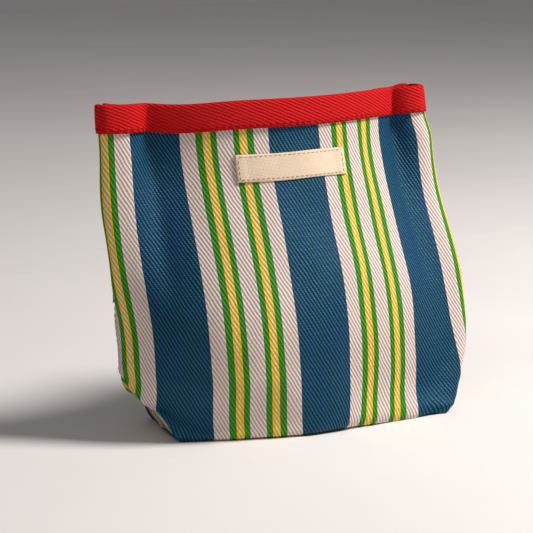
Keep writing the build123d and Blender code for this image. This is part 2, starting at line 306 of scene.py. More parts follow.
# ---- making meshes --------------------------------------------------------
def new_mesh(name, points, faces, uvs=None, smooth_faces=True, body="pouch", slot=None):
    """points are millimetres on the pouch's own axes; uvs are per point, in millimetres of cloth."""
    mesh = bpy.data.meshes.new(name)
    placed = (np.asarray(points, float) - ORIGIN) * MM
    mesh.from_pydata(placed.tolist(), [], faces)
    if uvs is not None:
        layer = mesh.uv_layers.new(name="cloth")
        flat = np.asarray(uvs, float)[[l.vertex_index for l in mesh.loops]] / 100
        layer.data.foreach_set("uv", flat.ravel())
    if smooth_faces:
        mesh.polygons.foreach_set("use_smooth", [True] * len(mesh.polygons))
    mesh.update()
    obj = bpy.data.objects.new(name, mesh)
    scene.collection.objects.link(obj)
    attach(obj, body)
    return obj


def quads(rows, columns, flip=False):
    faces = []
    for i in range(rows - 1):
        for j in range(columns - 1):
            a, b = i * columns + j, i * columns + j + 1
            c, d = b + columns, a + columns
            faces.append((a, d, c, b) if flip else (a, b, c, d))
    return faces


def hoop_faces(rows, count, flip=False):
    """Faces along a row of hoops of count points, closed at both ends."""
    faces = []
    for i in range(rows - 1):
        for k in range(count):
            a, b = i * count + k, i * count + (k + 1) % count
            faces.append((a, b, b + count, a + count))
    faces += [tuple(range(count))[::-1], tuple((rows - 1) * count + k for k in range(count))]
    return [f[::-1] for f in faces] if flip else faces


def panel_faces(flip):
    """The wall's faces, with the quads on the corner creases split along them."""
    columns = len(U)
    faces = []
    for face in quads(len(H_ROWS), columns, flip):
        i, j = divmod(min(face), columns)
        a, b, c, d = (i * columns + j, i * columns + j + 1,
                      (i + 1) * columns + j + 1, (i + 1) * columns + j)
        if i < CORNER_ROWS - 1 and j == CORNER_ROWS - 2 - i:           # left crease
            split = [(a, b, d), (b, c, d)]
        elif i < CORNER_ROWS - 1 and j == columns - CORNER_ROWS + i:   # right crease
            split = [(a, b, c), (a, c, d)]
        else:
            faces.append(face)
            continue
        faces += [t[::-1] for t in split] if flip else split
    return faces


def solid_sheet(obj, thickness, offset):
    extra = obj.modifiers.new("thickness", "SOLIDIFY")
    extra.thickness = thickness * MM
    extra.offset = offset
    extra.use_rim = True
    extra.use_even_offset = False


# ---- materials ------------------------------------------------------------
class Nodes:
    """Short ways to add nodes to one tree. Each gives a socket to link from."""

    def __init__(self, tree):
        self.tree = tree

    def put(self, kind, **values):
        node = self.tree.nodes.new(kind)
        for key, value in values.items():
            setattr(node, key, value)
        return node

    def link(self, value, socket):
        if isinstance(value, (int, float, tuple)):
            socket.default_value = value
        else:
            self.tree.links.new(value, socket)

    def math(self, operation, a, b=0.0, c=0.0, clamp=False):
        node = self.put("ShaderNodeMath", operation=operation, use_clamp=clamp)
        for value, socket in zip((a, b, c), node.inputs):
            self.link(value, socket)
        return node.outputs[0]

    def mix(self, factor, a, b):
        node = self.put("ShaderNodeMix", data_type="RGBA")
        self.link(factor, node.inputs[0])
        self.link(a, node.inputs[6])
        self.link(b, node.inputs[7])
        return node.outputs[2]

    def noise(self, vector, scale, detail=2.0, roughness=0.5):
        node = self.put("ShaderNodeTexNoise")
        self.link(vector, node.inputs["Vector"])
        node.inputs["Scale"].default_value = scale
        node.inputs["Detail"].default_value = detail
        node.inputs["Roughness"].default_value = roughness
        return node.outputs[0]

    def ramp(self, value, stops):
        """Each stop's colour, held until the next stop."""
        node = self.put("ShaderNodeValToRGB")
        node.color_ramp.interpolation = "CONSTANT"
        elements = node.color_ramp.elements
        while len(elements) > 1:
            elements.remove(elements[-1])
        elements[0].position, elements[0].color = stops[0][0], (*stops[0][1], 1)
        for place, colour in stops[1:]:
            elements.new(place).color = (*colour, 1)
        self.link(value, node.inputs[0])
        return node.outputs[0]

    def bump(self, height, strength, distance):
        node = self.put("ShaderNodeBump")
        node.inputs["Strength"].default_value = strength
        node.inputs["Distance"].default_value = distance
        self.link(height, node.inputs["Height"])
        return node.outputs[0]

    def object_place(self):
        return self.put("ShaderNodeTexCoord").outputs["Object"]

    def cloth_uv(self):
        """u and h of the cloth in millimetres, and the vector itself."""
        uv = self.put("ShaderNodeUVMap", uv_map="cloth")
        parts = self.put("ShaderNodeSeparateXYZ")
        self.link(uv.outputs[0], parts.inputs[0])
        return (self.math("MULTIPLY", parts.outputs[0], 100.0),
                self.math("MULTIPLY", parts.outputs[1], 100.0), uv.outputs[0])


def material(name):
    """A new material, the short ways to add to its tree, and its shader."""
    mat = bpy.data.materials.new(name)
    mat.use_nodes = True
    tree = mat.node_tree
    tree.nodes.clear()
    out = tree.nodes.new("ShaderNodeOutputMaterial")
    shader = tree.nodes.new("ShaderNodeBsdfPrincipled")
    tree.links.new(shader.outputs[0], out.inputs[0])
    return mat, Nodes(tree), shader


def srgb(r, g, b):
    """Linear colour from 0-255 screen values."""
    return tuple(((v / 255) / 12.92 if v <= 10 else ((v / 255 + 0.055) / 1.055) ** 2.4)
                 for v in (r, g, b))


def wave(n, phase, period):
    """0 to 1 and back, once each period."""
    turn = n.math("MULTIPLY", phase, 2 * math.pi / period)
    return n.math("MULTIPLY_ADD", n.math("SINE", turn), 0.5, 0.5)


# Distances from the panel's middle, in millimetres. A green band is edged with
# cream, and holds two yellow lines with a cream line between them.
MIDDLE_BLUE = 15.0
SIDE_BLUE = (62.5, 92.5)
BAND_STARTS = (23.5, 43.0, 101.0)
BAND = ((0, "green"), (3.4, "yellow"), (5, "cream"), (6, "yellow"), (7.6, "green"), (11, "cream"))
STRIPES = [(0, "blue"), (MIDDLE_BLUE, "cream"), (SIDE_BLUE[0], "blue"), (SIDE_BLUE[1], "cream")]
STRIPES += [(start + step, colour) for start in BAND_STARTS for step, colour in BAND]
STRIPES.sort()
RIB = {"blue": srgb(26, 104, 138), "cream": srgb(243, 227, 216),
       "green": srgb(68, 160, 0), "yellow": srgb(255, 218, 4)}
GROOVE = {"blue": srgb(0, 8, 30), "cream": srgb(170, 142, 136),
          "green": srgb(8, 78, 0), "yellow": srgb(216, 144, 0)}


RIB_PITCH, DASH_PITCH, WEFT_PITCH, WARP_PITCH = 2.05, 1.05, 0.62, 0.55   # mm


def woven_stripe():
    mat, n, shader = material("woven_stripe")
    u, h, vector = n.cloth_uv()
    wobble = n.math("MULTIPLY_ADD", n.noise(vector, 60, 1), 1.2, -0.6)
    slow = n.math("MULTIPLY_ADD", n.noise(vector, 9, 1), 1.6, -0.8)
    phase = n.math("ADD", n.math("MULTIPLY_ADD", h, 0.55, u), slow)
    rib = wave(n, phase, RIB_PITCH)
    weft = wave(n, h, WEFT_PITCH)
    warp = wave(n, u, WARP_PITCH)
    fray = n.math("MULTIPLY", wobble, 0.35)
    across = n.math("ABSOLUTE", n.math("ADD", u, fray))
    reach = HALF_PANEL + 0.5
    place = n.math("DIVIDE", across, reach)
    tops = n.ramp(place, [(d / reach, RIB[c]) for d, c in STRIPES])
    grooves = n.ramp(place, [(d / reach, GROOVE[c]) for d, c in STRIPES])
    is_blue = n.math("ADD", n.math("LESS_THAN", across, MIDDLE_BLUE),
                     n.math("MULTIPLY", n.math("GREATER_THAN", across, SIDE_BLUE[0]),
                            n.math("LESS_THAN", across, SIDE_BLUE[1])))
    # Each rib is crossed by weft threads, which show as dashes on the blue,
    # where the ribs are also narrower.
    dash = wave(n, n.math("MULTIPLY_ADD", wobble, 0.3, h), DASH_PITCH)
    broken = n.math("MULTIPLY_ADD", is_blue, 0.3, 0.12)
    left_over = n.math("SUBTRACT", 1.0, broken)
    narrow = n.math("POWER", rib, n.math("MULTIPLY_ADD", is_blue, 0.8, 0.9))
    lit = n.math("MULTIPLY", narrow, n.math("MULTIPLY_ADD", dash, broken, left_over))
    lit = n.math("MULTIPLY_ADD", weft, 0.08, lit, True)
    colour = n.mix(lit, grooves, tops)
    # The blue stripes have streaks of a brighter royal blue along the warp.
    streaks = n.put("ShaderNodeMapping")
    streaks.inputs["Scale"].default_value = (60, 1.4, 1)
    n.link(vector, streaks.inputs["Vector"])
    royal = n.math("SUBTRACT", n.noise(streaks.outputs[0], 1.0, 2), 0.52)
    royal = n.math("MULTIPLY", royal, 4.5, clamp=True)
    colour = n.mix(n.math("MULTIPLY", n.math("MULTIPLY", royal, is_blue), 0.42),
                   colour, (*srgb(10, 42, 132), 1))
    # Dust and fading in wide soft patches.
    fade = n.math("MULTIPLY_ADD", is_blue, -0.03, 0.04)
    fade = n.math("MULTIPLY", n.noise(vector, 3.0, 3), fade, clamp=True)
    colour = n.mix(fade, colour, (*srgb(150, 140, 136), 1))
    n.link(colour, shader.inputs["Base Color"])
    height = n.math("MULTIPLY", n.math("ADD", weft, warp), 0.12)
    height = n.math("ADD", height, n.math("MULTIPLY", lit, 0.9))
    n.link(n.bump(height, 0.85, 0.00032), shader.inputs["Normal"])
    gloss = n.math("MULTIPLY_ADD", is_blue, -0.18, n.math("MULTIPLY_ADD", lit, -0.2, 0.7))
    n.link(gloss, shader.inputs["Roughness"])
    shader.inputs["Specular IOR Level"].default_value = 0.32
    shader.inputs["Specular Tint"].default_value = (0.4, 0.8, 1.0, 1)
    return mat


def webbing(name="webbing", bright=srgb(255, 2, 12), deep=srgb(158, 0, 5)):
    mat, n, shader = material(name)
    u, h, vector = n.cloth_uv()
    slow = n.math("MULTIPLY_ADD", n.noise(vector, 14, 1), 0.8, -0.4)
    phase = n.math("ADD", n.math("MULTIPLY_ADD", u, 0.44, h), slow)
    rib = wave(n, phase, 1.78)
    warp = wave(n, h, 0.7)
    weft = wave(n, n.math("MULTIPLY_ADD", h, 0.2, u), 0.85)
    knots = n.math("MULTIPLY", warp, weft)
    lit = n.math("MULTIPLY_ADD", knots, 0.4, n.math("MULTIPLY", rib, 0.6), clamp=True)
    fuzz = n.noise(vector, 220, 2)
    lit = n.math("MULTIPLY_ADD", fuzz, 0.25, n.math("SUBTRACT", lit, 0.1), clamp=True)
    n.link(n.mix(lit, (*deep, 1), (*bright, 1)), shader.inputs["Base Color"])
    height = n.math("MULTIPLY_ADD", knots, 0.6, rib)
    height = n.math("MULTIPLY_ADD", fuzz, 0.3, height)
    n.link(n.bump(height, 0.9, 0.0005), shader.inputs["Normal"])
    shader.inputs["Roughness"].default_value = 0.74
    shader.inputs["Specular IOR Level"].default_value = 0.18
    shader.inputs["Sheen Weight"].default_value = 0.04
    shader.inputs["Sheen Roughness"].default_value = 0.4
    shader.inputs["Sheen Tint"].default_value = (1.0, 0.2, 0.15, 1)
    return mat


def plain_weave(name, colour, shade, period=0.7, roughness=0.85, mottle=0.25):
    """A flat cotton or polyester weave."""
    mat, n, shader = material(name)
    u, h, vector = n.cloth_uv()
    slub = n.math("MULTIPLY_ADD", n.noise(vector, 40, 3), 0.5, -0.25)
    over = wave(n, n.math("ADD", u, slub), period)
    under = wave(n, n.math("ADD", h, slub), period)
    weave = n.math("MULTIPLY", over, under)
    patch = n.math("MULTIPLY", n.noise(vector, 16, 3), mottle)
    amount = n.math("ADD", n.math("MULTIPLY", weave, 0.55), patch, clamp=True)
    n.link(n.mix(amount, (*shade, 1), (*colour, 1)), shader.inputs["Base Color"])
    height = n.math("ADD", weave, n.noise(vector, 150, 2))
    n.link(n.bump(height, 0.6, 0.00015), shader.inputs["Normal"])
    shader.inputs["Roughness"].default_value = roughness
    shader.inputs["Specular IOR Level"].default_value = 0.25
    shader.inputs["Sheen Weight"].default_value = 0.15
    return mat


def thread(name, colour, shade):
    mat, n, shader = material(name)
    where = n.object_place()
    twist = n.put("ShaderNodeTexWave", bands_direction="DIAGONAL")
    twist.inputs["Scale"].default_value = 900
    twist.inputs["Distortion"].default_value = 1.5
    n.link(where, twist.inputs["Vector"])
    n.link(n.mix(twist.outputs[1], (*shade, 1), (*colour, 1)), shader.inputs["Base Color"])
    n.link(n.bump(twist.outputs[1], 0.5, 0.0001), shader.inputs["Normal"])
    shader.inputs["Roughness"].default_value = 0.75
    shader.inputs["Specular IOR Level"].default_value = 0.2
    return mat


def moulded_coil():
    mat, n, shader = material("zip_coil")
    where = n.object_place()
    grain = n.noise(where, 900, 2)
    n.link(n.mix(grain, (*srgb(150, 6, 12), 1), (*srgb(206, 20, 26), 1)), shader.inputs["Base Color"])
    n.link(n.bump(grain, 0.2, 0.00005), shader.inputs["Normal"])
    shader.inputs["Roughness"].default_value = 0.35
    shader.inputs["Specular IOR Level"].default_value = 0.5
    return mat


def metal():
    mat, n, shader = material("zip_metal")
    where = n.object_place()
    grain = n.noise(where, 500, 4, 0.6)
    wear = n.noise(where, 120, 3)
    n.link(n.mix(wear, (*srgb(150, 148, 144), 1), (*srgb(205, 203, 198), 1)),
           shader.inputs["Base Color"])
    n.link(n.math("MULTIPLY_ADD", grain, 0.25, 0.18), shader.inputs["Roughness"])
    n.link(n.bump(grain, 0.12, 0.00005), shader.inputs["Normal"])
    shader.inputs["Metallic"].default_value = 1.0
    return mat


CLOTH = woven_stripe()
WEB = webbing()
TAPE_WEAVE = plain_weave("zip_tape", srgb(205, 16, 24), srgb(120, 0, 8), 0.8)
LABEL_WEAVE = plain_weave("label_cloth", srgb(248, 228, 204), srgb(216, 190, 160), 0.75, 0.9, 0.6)
CARE_WEAVE = plain_weave("care_label", srgb(92, 90, 92), srgb(48, 46, 50), 0.45, 0.5)
SEAM_WEAVE = plain_weave("seam_tape", srgb(40, 52, 70), srgb(14, 20, 34), 0.9)
RED_THREAD = thread("red_thread", srgb(214, 12, 20), srgb(120, 0, 6))
TAN_THREAD = thread("label_thread", srgb(206, 176, 128), srgb(150, 120, 80))
COIL = moulded_coil()
METAL = metal()

# ---- the two panels -------------------------------------------------------
WALLS = {}


def panel(face, name, node):
    flip = face["sign"] > 0
    wall = worked(face, panel_grid(face))
    WALLS[face["sign"]] = wall
    floor, first, last = base_grid(face, wall)
    rows, columns = len(H_ROWS), len(U)
    points = [wall.reshape(-1, 3)]
    u, h = np.meshgrid(U, H_ROWS)
    uvs = [np.stack([-face["sign"] * u.ravel(), h.ravel()], 1)]
    faces = panel_faces(flip)
    start = rows * columns
    wide = last - first + 1
    points.append(floor.reshape(-1, 3))
    fu, fh = np.meshgrid(U[first:last + 1], -np.arange(1, BASE_ROWS + 1) * CORNER / BASE_ROWS)
    uvs.append(np.stack([-face["sign"] * fu.ravel(), fh.ravel()], 1))
    for i in range(BASE_ROWS):                       # the base's first row joins the wall's
        for j in range(wide - 1):
            a = start + (i - 1) * wide + j if i else first + j
            d = start + i * wide + j
            faces.append((a, a + 1, d + 1, d) if flip else (a, d, d + 1, a + 1))
    obj = new_mesh(name, np.concatenate(points), faces, np.concatenate(uvs), slot="woven_stripe")
    obj.data.materials.append(CLOTH)
    solid_sheet(obj, FABRIC, -1)
    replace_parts(obj, node)


panel(FRONT, "front_cloth", "front_panel")
panel(BACK, "back_cloth", "back_panel")


def on_cloth(side, u, h, offset=0.0):
    """Points on a panel's outer face, offset outwards, at cloth places u and h."""
    wall = WALLS[side]
    normal = grid_normals(wall) * (1 if side < 0 else -1)
    u, h = np.broadcast_arrays(np.asarray(u, float), np.asarray(h, float))
    j = np.clip((u + HALF_PANEL) / CELL, 0, len(U) - 1.001)
    i = np.interp(h, H_ROWS, np.arange(len(H_ROWS)))
    i = np.clip(i, 0, len(H_ROWS) - 1.001)
    i0, j0 = i.astype(int), j.astype(int)
    fi, fj = (i - i0)[..., None], (j - j0)[..., None]

    def at(field):
        return mix(mix(field[i0, j0], field[i0, j0 + 1], fj),
                   mix(field[i0 + 1, j0], field[i0 + 1, j0 + 1], fj), fi)
    n = at(normal)
    n = n / np.linalg.norm(n, axis=-1, keepdims=True)
    offset = np.asarray(offset, float)[..., None] if np.ndim(offset) else offset
    return at(wall) + n * offset, n


# ---- the binding ----------------------------------------------------------
def binding_profile():
    """Round the folded webbing: (offset from the cloth's face, z below the top, cloth v)."""
    reach = WEBBING + FABRIC / 2 + 0.12
    leg = BINDING_HIGH - BINDING_LOW
    profile = []
    for t in np.linspace(0, 1, 9):                   # outer leg, upwards
        swell = 0.22 * math.sin(math.pi * t) + 0.18 * bump_at(t, 0.04, 0.05)
        profile.append((WEBBING + 0.1 + swell, -leg + t * (leg - reach)))
    for a in np.linspace(0, math.pi, 11)[1:-1]:      # over the top
        profile.append((-FABRIC / 2 + reach * math.cos(a), -reach + reach * math.sin(a)))
    for t in np.linspace(1, 0, 7):                   # inner leg, downwards
        profile.append((-FABRIC - WEBBING - 0.05, -leg + 0.4 + t * (leg - reach - 0.4)))
    profile += [(-FABRIC - 0.05, -leg + 0.5), (-FABRIC - 0.05, -WEBBING - 0.4),
                (0.05, -WEBBING - 0.4), (0.05, -leg + 0.1)]
    runs = [0.0]
    for (a, b), (c, d) in zip(profile, profile[1:]):
        runs.append(runs[-1] + math.hypot(c - a, d - b))
    return profile, runs


def make_binding(side, name, node):
    profile, runs = binding_profile()
    along = np.linspace(-HALF_PANEL, HALF_PANEL, 177)
    top = BINDING_HIGH - (BACK_DROP if side > 0 else 0)
    points, uvs = [], []
    near_top, near_edge = 172.0, 163.5
    base, normal = on_cloth(side, along, near_top)
    lower, _ = on_cloth(side, along, near_edge)
    normal = normal * [1, 1, 0]
    normal /= np.linalg.norm(normal, axis=1, keepdims=True)
    lean = (base - lower)[:, :2] / (base - lower)[:, 2:3]
    drop = base[:, 2] - HEIGHT * near_top / PANEL_TOP
    near = np.clip((np.abs(along) - (HALF_PANEL - 3)) / 3, 0, 1)
    for (offset, z), v in zip(profile, runs):
        tall = top + z + (drop if side < 0 else drop + BACK_DROP * 0.995)
        height = tall - end_drop(along) * smooth(z, -14, -2)
        centre = base[:, :2] + lean * (height - base[:, 2])[:, None]
        squeeze = 1 - 0.6 * (1 - np.sqrt(1 - near ** 2))
        xy = centre + normal[:, :2] * (offset * squeeze)[:, None]
        points.append(np.column_stack([xy, height]))
        uvs.append(np.column_stack([-side * along, np.full_like(along, v)]))
    rows, columns = len(profile), len(along)
    grid = np.array(points)
    flat = grid.reshape(-1, 3)
    faces = quads(rows, columns, flip=side > 0)
    last = (rows - 1) * columns
    for j in range(columns - 1):                     # close the loop
        a, b, c, d = last + j, last + j + 1, j + 1, j
        faces.append((a, d, c, b) if side > 0 else (a, b, c, d))
    for j, reverse in ((0, side > 0), (columns - 1, side < 0)):
        cap = [i * columns + j for i in range(rows)]
        faces.append(tuple(cap[::-1] if reverse else cap))
    obj = new_mesh(name, flat, faces, np.concatenate(uvs), slot="webbing")
    obj.data.materials.append(WEB)
    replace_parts(obj, node)


make_binding(-1, "front_webbing", "front_binding")
make_binding(1, "back_webbing", "back_binding")

# ---- stitches -------------------------------------------------------------
class Build:
    """Collects points and faces for one mesh."""

    def __init__(self):
        self.points, self.faces = [], []

    def add(self, points, faces):
        start = len(self.points)
        self.points += [tuple(p) for p in points]
        self.faces += [tuple(start + k for k in f) for f in faces]

    def tube(self, path, radius, sides=6):
        path = np.asarray(path, float)
        radius = np.broadcast_to(radius, len(path))
        tangent = np.gradient(path, axis=0)
        tangent /= np.linalg.norm(tangent, axis=1, keepdims=True)
        guide = np.array([0.0, 0.0, 1.0]) if abs(tangent[0][2]) < 0.8 else np.array([1.0, 0, 0])
        points = []
        for place, way, r in zip(path, tangent, radius):
            first = np.cross(way, guide)
            first /= np.linalg.norm(first)
            second = np.cross(first, way)
            for k in range(sides):
                a = 2 * math.pi * k / sides
                points.append(place + r * (math.cos(a) * first + math.sin(a) * second))
        self.add(points, hoop_faces(len(path), sides, flip=True))

    def make(self, name, mat, uvs=None, **words):
        obj = new_mesh(name, self.points, self.faces, uvs, **words)
        obj.data.materials.append(mat)
        return obj


def stitch_row(build, start, end, place, length=3.0, gap=0.7, radius=0.2):
    """Stitches along place(t), t in millimetres from start to end."""
    t = start
    while t + length <= end + 0.01:
        ts = np.linspace(t, t + length, 7)
        rise = np.sin(np.linspace(0, math.pi, 7)) ** 0.6 * 0.30 - 0.16
        build.tube(place(ts, rise), radius * np.array([0.6, 0.95, 1, 1, 1, 0.95, 0.6]), 6)
        t += length + gap


def binding_surface(side, u, offset):
    """Just outside (or inside) the webbing, near its lower edge."""
    top = BINDING_HIGH - (BACK_DROP if side > 0 else 0)
    low = (BINDING_LOW + 2.2) * PANEL_TOP / HEIGHT
    return on_cloth(side, u, low, offset)[0]


for side, label, node in ((-1, "front", "front_binding_thread"), (1, "back", "back_binding_thread")):
    rows = Build()
    stitch_row(rows, -HALF_PANEL + 3, HALF_PANEL - 3,
               lambda ts, rise: binding_surface(side, ts, WEBBING + 0.26 + rise))
    stitch_row(rows, -HALF_PANEL + 5, HALF_PANEL - 5,
               lambda ts, rise: binding_surface(side, ts, -FABRIC - WEBBING - 0.06 - rise))
    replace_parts(rows.make(label + "_binding_stitches", RED_THREAD, slot="red_thread"), node)

# ---- the blank cloth label ------------------------------------------------
LABEL_U = (-35.0, 30.0)
LABEL_H = (134.8, 149.2)


def label_surface(u, h, lift=0.0):
    """The label's outer face: it lies on the cloth, and is thicker at its folded ends."""
    ends = smooth(np.abs(u - sum(LABEL_U) / 2), 26.5, 28.5)
    puff = 0.25 * np.sin(np.clip((h - LABEL_H[0]) / (LABEL_H[1] - LABEL_H[0]), 0, 1) * math.pi)
    return on_cloth(-1, u, h, 0.62 + 0.28 * ends + puff + lift)[0]


lu, lh = np.meshgrid(np.linspace(*LABEL_U, 61), np.linspace(*LABEL_H, 17))
wander = 0.25 * np.sin(lu / 9.0) * smooth(np.abs(lh - sum(LABEL_H) / 2), 4, 7.2)
lh = lh + wander
label = Build()
label.add(label_surface(lu, lh).reshape(-1, 3), quads(17, 61))
label = label.make("blank_label", LABEL_WEAVE, np.stack([lu.ravel(), lh.ravel()], 1),
                   slot="label_cloth")
solid_sheet(label, 0.5, -1)
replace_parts(label, "front_label")

label_rows = Build()
inset = 1.3
for h in (LABEL_H[0] + inset, LABEL_H[1] - inset):
    stitch_row(label_rows, LABEL_U[0] + 2.2, LABEL_U[1] - 2.0,
               lambda ts, rise: label_surface(ts, h, rise * 0.7 + 0.05), 2.0, 0.75, 0.15)
for u in (LABEL_U[0] + 1.6, LABEL_U[1] - 1.6):
    stitch_row(label_rows, LABEL_H[0] + 1.2, LABEL_H[1] - 1.0,
               lambda ts, rise: label_surface(np.full_like(ts, u), ts, rise * 0.7 + 0.05),
               2.0, 0.75, 0.15)
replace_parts(label_rows.make("label_stitches", TAN_THREAD, slot="label_thread"), "front_label_thread")

# ---- the zip --------------------------------------------------------------
TAPE_Z = 163.5
TAPE_HALF = 72.7           # along the zip's line
CHAIN_HALF = 67.8
COIL_PITCH = 1.25
SLIDER_RUN = 60.06
PIVOT_Z = 4.45             # the puller's bar, above the tape


def zip_place(run, across, z):
    """A point at run along the zip's line; across is towards the back; z is from the floor."""
    run, across, z = np.broadcast_arrays(*(np.asarray(v, float) for v in (run, across, z)))
    radius = ZIP_RADIUS - across
    x, y = turned(radius * np.sin(run / ZIP_RADIUS),
                  MOUTH_CENTRE_Y - radius * np.cos(run / ZIP_RADIUS), MOUTH_TURN)
    return np.stack([x + MOUTH_ASIDE, y, z], axis=-1)


def zip_half(side, name):
    """Half of the tape, turned down where it is sewn, and its coil."""
    profile = [(0.3, 0.0), (1.2, 0.0), (2.2, 0.0), (3.1, -0.05), (3.7, -0.35), (3.95, -1.0),
               (4.0, -2.2), (4.02, -4.5), (4.02, -7.5)]
    runs = np.linspace(-TAPE_HALF, TAPE_HALF, 90)
    points, uvs, length = [], [], 0.0
    for k, (across, down) in enumerate(profile):
        if k:
            length += math.hypot(across - profile[k - 1][0], down - profile[k - 1][1])
        ripple = 0.12 * np.sin(runs / 5.5 + side) * smooth(across, 0.3, 2)
        points.append(zip_place(runs, side * across, TAPE_Z + down + ripple))
        uvs.append(np.column_stack([runs, np.full_like(runs, length)]))
    tape = Build()
    tape.add(np.array(points).reshape(-1, 3), quads(len(profile), len(runs), flip=side < 0))
    tape = tape.make(name + "_tape", TAPE_WEAVE, np.concatenate(uvs), slot="zip_tape")
    solid_sheet(tape, 0.45, -1)
    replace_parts(tape, name + "_zip_tape")
    chain = Build()
    turns = int(2 * CHAIN_HALF / COIL_PITCH)
    a = np.linspace(0, turns * 2 * math.pi, turns * 10 + 1)
    shift = 0 if side < 0 else COIL_PITCH / 2
    run = -CHAIN_HALF + a / (2 * math.pi) * COIL_PITCH * 0.992 + shift * 0.9
    run = run + 0.22 * COIL_PITCH * np.sin(a)
    across = side * (1.02 - 1.22 * np.cos(a))
    chain.tube(zip_place(run, across, TAPE_Z + 1.02 + 0.68 * np.sin(a)), 0.27, 6)
    core = np.linspace(-CHAIN_HALF, CHAIN_HALF, 80)
    chain.tube(zip_place(core, side * 1.25, TAPE_Z + 0.95), 0.36, 6)
    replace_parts(chain.make(name + "_coil", COIL, slot="zip_coil"), name + "_zip_coil")


zip_half(-1, "front")
zip_half(1, "back")


def outline_plate(outline, low, high, bevel, holes=()):
    """A plate with rounded edges from an outline in x and y: (points, faces), in millimetres."""
    data = bpy.data.curves.new("outline", "CURVE")
    data.dimensions = "2D"
    data.fill_mode = "BOTH"
    for loop in (outline, *holes):
        spline = data.splines.new("POLY")
        spline.points.add(len(loop) - 1)
        for point, (x, y) in zip(spline.points, loop):
            point.co = (x, y, 0, 1)
        spline.use_cyclic_u = True
    data.extrude = (high - low) / 2 - bevel
    data.bevel_depth = bevel
    data.bevel_resolution = 2
    data.offset = -bevel
    holder = bpy.data.objects.new("outline", data)
    mesh = bpy.data.meshes.new_from_object(holder)
    points = [(v.co.x, v.co.y, v.co.z + (low + high) / 2) for v in mesh.vertices]
    faces = [tuple(f.vertices) for f in mesh.polygons]
    bpy.data.objects.remove(holder)
    bpy.data.curves.remove(data)
    bpy.data.meshes.remove(mesh)
    return points, faces


def rounded_outline(half_length, half_width, radius, steps=6):
    loop = []
    for cx, cy, start in ((1, 1, 0), (-1, 1, 90), (-1, -1, 180), (1, -1, 270)):
        for k in range(steps + 1):
            a = math.radians(start + 90 * k / steps)
            loop.append((cx * (half_length - radius) + radius * math.cos(a),
                         cy * (half_width - radius) + radius * math.sin(a)))
    return loop


def shifted(plate, x_by, y_by=0.0):
    points, faces = plate
    return [(x + x_by, y + y_by, z) for x, y, z in points], faces


def on_zip(points, run, height=0.0):
    """Points of a piece made about the zip's line, moved to its place along it."""
    points = np.asarray(points, float)
    angle = run / ZIP_RADIUS + MOUTH_TURN
    centre = zip_place(run, 0, TAPE_Z + height)
    x, y = turned(points[:, 0], points[:, 1], angle)
    return np.column_stack([x + centre[0], y + centre[1], points[:, 2] + centre[2]])


def metal_piece(parts, name, run, height, node, body="pouch"):
    build = Build()
    for points, faces in parts:
        build.add(on_zip(points, run, height), faces)
    obj = build.make(name, METAL, slot="zip_metal", body=body, smooth_faces=False)
    obj.modifiers.new("weld", "WELD").merge_threshold = 0.002 * MM
    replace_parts(obj, node)


# Two crimps past the closed end, and one across both tapes at the open end.
STOP_AT = CHAIN_HALF + 1.9
crimp = outline_plate(rounded_outline(1.2, 0.85, 0.35), 0.0, 2.0, 0.25)
lip = outline_plate(rounded_outline(0.5, 1.0, 0.3), 2.0, 2.25, 0.1)
ends = Build()
for y in (-1.5, 1.5):
    for plate in (crimp, lip):
        points, faces = shifted(plate, 0, y)
        ends.add(on_zip(points, STOP_AT), faces)
ends = ends.make("zip_end_crimps", METAL, slot="zip_metal", smooth_faces=False)
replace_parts(ends, "zip_top_stops")
clip = outline_plate(rounded_outline(1.3, 2.3, 0.5), 0.0, 2.2, 0.35)
groove = outline_plate(rounded_outline(0.35, 2.0, 0.2), 2.15, 2.4, 0.1)
metal_piece([clip, groove], "zip_start_clip", -STOP_AT, 0, "zip_bottom_stop")


def slider_outline(length):
    """Wide at the end that takes in the open chain, narrow at the other."""
    loop = []
    for k in range(40):
        a = 2 * math.pi * k / 40
        x = length / 2 * math.copysign(abs(math.cos(a)) ** 0.55, math.cos(a))
        wide = 3.35 - 0.35 * smooth(-x, -1, length / 2)
        loop.append((x, wide * math.copysign(abs(math.sin(a)) ** 0.5, math.sin(a))))
    return loop


def slider_parts():
    above, below, plate = 2.25, 0.75, 0.9
    post = outline_plate(rounded_outline(1.0, 0.18, 0.15), -below - 0.1, above + 0.1, 0.03)
    rail = outline_plate(rounded_outline(3.9, 0.36, 0.25), 0.3, above + 0.1, 0.1)
    parts = [outline_plate(slider_outline(9.5), above, above + plate, 0.3),
             outline_plate(slider_outline(8.8), -below - plate, -below, 0.3),
             shifted(post, 2.9), shifted(rail, -0.2, -2.85), shifted(rail, -0.2, 2.85)]
    # The bridge: a flat bar bent up from both ends of the top plate.
    t = np.linspace(0, 1, 17)
    x = 3.15 * np.cos(math.pi * (1 - t))
    z = above + plate - 0.25 + 2.95 * np.sin(math.pi * t) ** 0.5
    half_wide, half_thick = 0.85, 0.42
    slope = np.arctan2(np.gradient(z), np.gradient(x))
    ring_shape = [(math.cos(a), math.sin(a)) for a in np.linspace(0, 2 * math.pi, 13)[:-1]]
    points = []
    for px, pz, turn in zip(x, z, slope):
        for c, d in ring_shape:
            w = half_wide * math.copysign(abs(c) ** 0.5, c)
            n = half_thick * math.copysign(abs(d) ** 0.5, d)
            points.append((px - n * math.sin(turn), w, pz + n * math.cos(turn)))
    parts.append((points, hoop_faces(len(x), len(ring_shape), flip=True)))
    return parts


metal_piece(slider_parts(), "zip_slider", SLIDER_RUN, 0, "slider_body", "slider")


